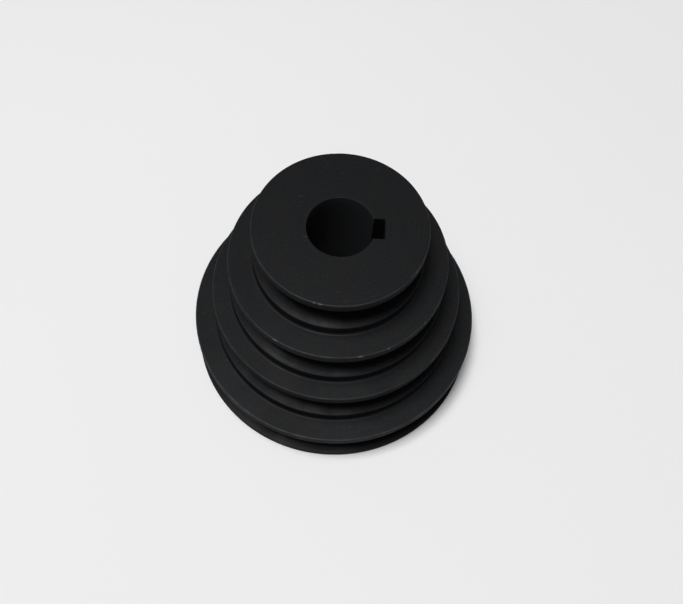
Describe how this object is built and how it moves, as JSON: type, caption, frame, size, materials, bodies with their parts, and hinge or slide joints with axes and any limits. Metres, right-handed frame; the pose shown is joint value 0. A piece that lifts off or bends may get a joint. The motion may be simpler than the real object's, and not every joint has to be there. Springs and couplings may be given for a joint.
{
  "type": "stepped v-belt pulley",
  "caption": "Stepped cone pulley for a V-belt: a stack of grooved steps growing in diameter, with a keyed through bore and radial set screws.",
  "frame": {"origin": "centre of the large end face, on the bore axis", "axes": "+Z along the bore from the large end to the small end, +X through the middle of the keyway"},
  "size_m": [0.1126, 0.1126, 0.08],
  "materials": {
    "blackened_iron": "turned all over, black phosphate and oil, satin",
    "black_steel": "black oxide, satin"
  },
  "bodies": {
    "pulley": {"pulley_body": "blackened_iron"},
    "key_screw": {"key_set_screw": "black_steel"},
    "shaft_screw": {"shaft_set_screw": "black_steel"}
  },
  "joints": [
    {"name": "key_screw_travel", "type": "slide", "parent": "pulley", "child": "key_screw", "axis": [1, 0, 0], "range_m": [-0.002, 0.01]},
    {"name": "shaft_screw_travel", "type": "slide", "parent": "pulley", "child": "shaft_screw", "axis": [0, -1, 0], "range_m": [-0.002, 0.012]}
  ]
}
